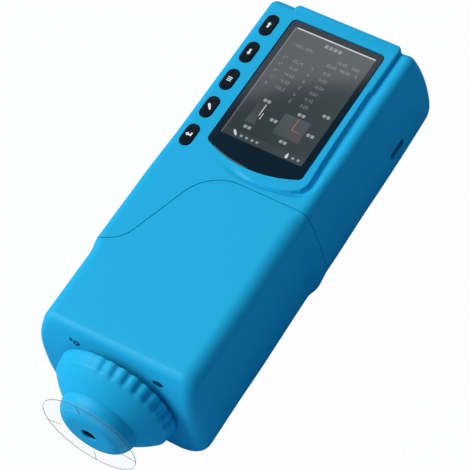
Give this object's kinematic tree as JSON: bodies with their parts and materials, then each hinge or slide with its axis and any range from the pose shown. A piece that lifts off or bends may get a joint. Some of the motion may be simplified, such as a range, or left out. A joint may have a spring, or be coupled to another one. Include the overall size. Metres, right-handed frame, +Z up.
{
  "type": "portable colorimeter",
  "caption": "Handheld colour measuring instrument: blue housing with display and keys, a twist-lock measuring nose with a clear locating disc, a trigger and a battery door.",
  "frame": {"origin": "middle of the rest face under the body, at the bottom centre of the bounding box", "axes": "+X to the right-hand side seen from behind the nose, +Y from the measuring nose to the rear end, +Z up out of the display face"},
  "size_m": [0.0768, 0.205, 0.059],
  "materials": {
    "blue_soft_touch": "bright blue soft-touch paint on a moulded shell",
    "black_gloss": "glossy black panel and key caps",
    "black_moulding": "plain black moulding",
    "board_green": "green circuit board",
    "clear_plate": "clear polished acrylic",
    "sphere_white": "matt white diffusing coat",
    "steel": "plain bright steel",
    "grey_alloy": "grey anodised alloy",
    "battery_wrap": "blue shrink film",
    "silicone": "grey silicone rubber"
  },
  "bodies": {
    "housing": {"aperture_tube": "black_moulding", "battery_connector": "steel", "battery_pack": "battery_wrap", "board_screw_1": "steel", "board_screw_2": "steel", "board_screw_3": "steel", "board_screw_4": "steel", "buzzer": "black_moulding", "charge_socket": "black_moulding", "chassis_screw_1": "steel", "chassis_screw_2": "steel", "chassis_screw_3": "steel", "chassis_screw_4": "steel", "collar_screw_1": "steel", "collar_screw_2": "steel", "display_glass": "black_gloss", "display_module": "black_moulding", "frame_screw_1": "steel", "frame_screw_2": "steel", "frame_screw_3": "steel", "frame_screw_4": "steel", "frame_screw_5": "steel", "frame_screw_6": "steel", "front_shell": "blue_soft_touch", "inner_frame": "black_moulding", "key_membrane": "silicone", "led_board": "board_green", "light_seal": "silicone", "light_sensor": "steel", "main_board": "board_green", "nose_collar": "black_moulding", "optical_chassis": "grey_alloy", "port_board": "board_green", "power_switch": "black_moulding", "processor": "black_moulding", "rear_housing": "blue_soft_touch", "sensor_board": "board_green", "sensor_screw_1": "steel", "sensor_screw_2": "steel", "sensor_tube": "black_moulding", "sphere_front": "sphere_white", "sphere_rear": "sphere_white", "trigger_board": "board_green", "trigger_screw_1": "steel", "trigger_screw_2": "steel", "trigger_switch": "black_moulding", "usb_socket": "steel"},
    "nose": {"nose_cone": "blue_soft_touch"},
    "tip": {"nose_cap": "blue_soft_touch", "locating_plate": "clear_plate"},
    "return_key": {"key_return": "black_gloss"},
    "pen_key": {"key_pen": "black_gloss"},
    "menu_key": {"key_menu": "black_gloss"},
    "down_key": {"key_down": "black_gloss"},
    "up_key": {"key_up": "black_gloss"},
    "trigger": {"trigger_button": "blue_soft_touch"},
    "switch_slider": {"power_slider": "silicone"},
    "door": {"battery_door": "blue_soft_touch"},
    "socket_cover": {"port_cover": "silicone"}
  },
  "joints": [
    {"name": "return_key_press", "type": "slide", "parent": "housing", "child": "return_key", "axis": [0, 0, -1], "range_m": [0, 0.0006], "stiffness_N_per_m": 800},
    {"name": "pen_key_press", "type": "slide", "parent": "housing", "child": "pen_key", "axis": [0, 0, -1], "range_m": [0, 0.0006], "stiffness_N_per_m": 800},
    {"name": "menu_key_press", "type": "slide", "parent": "housing", "child": "menu_key", "axis": [0, 0, -1], "range_m": [0, 0.0006], "stiffness_N_per_m": 800},
    {"name": "down_key_press", "type": "slide", "parent": "housing", "child": "down_key", "axis": [0, 0, -1], "range_m": [0, 0.0006], "stiffness_N_per_m": 800},
    {"name": "up_key_press", "type": "slide", "parent": "housing", "child": "up_key", "axis": [0, 0, -1], "range_m": [0, 0.0006], "stiffness_N_per_m": 800},
    {"name": "trigger_press", "type": "slide", "parent": "housing", "child": "trigger", "axis": [0, 0, 1], "range_m": [0, 0.0015], "stiffness_N_per_m": 1000},
    {"name": "power_slide", "type": "slide", "parent": "housing", "child": "switch_slider", "axis": [0, -1, 0], "range_m": [0, 0.0046]},
    {"name": "nose_twist", "type": "hinge", "parent": "housing", "child": "nose", "pos_m": [0, -0.085, 0.032], "axis": [0, -1, 0], "range_deg": [0, 88]},
    {"name": "tip_pull", "type": "slide", "parent": "nose", "child": "tip", "axis": [0, -1, 0], "range_m": [0, 0.03]},
    {"name": "door_swing", "type": "hinge", "parent": "housing", "child": "door", "pos_m": [0, 0.0215, 0.0013], "axis": [-1, 0, 0], "range_deg": [0, 80]},
    {"name": "cover_swing", "type": "hinge", "parent": "housing", "child": "socket_cover", "pos_m": [-0.0371, 0.071, 0.0308], "axis": [0, -1, 0], "range_deg": [0, 100]}
  ]
}
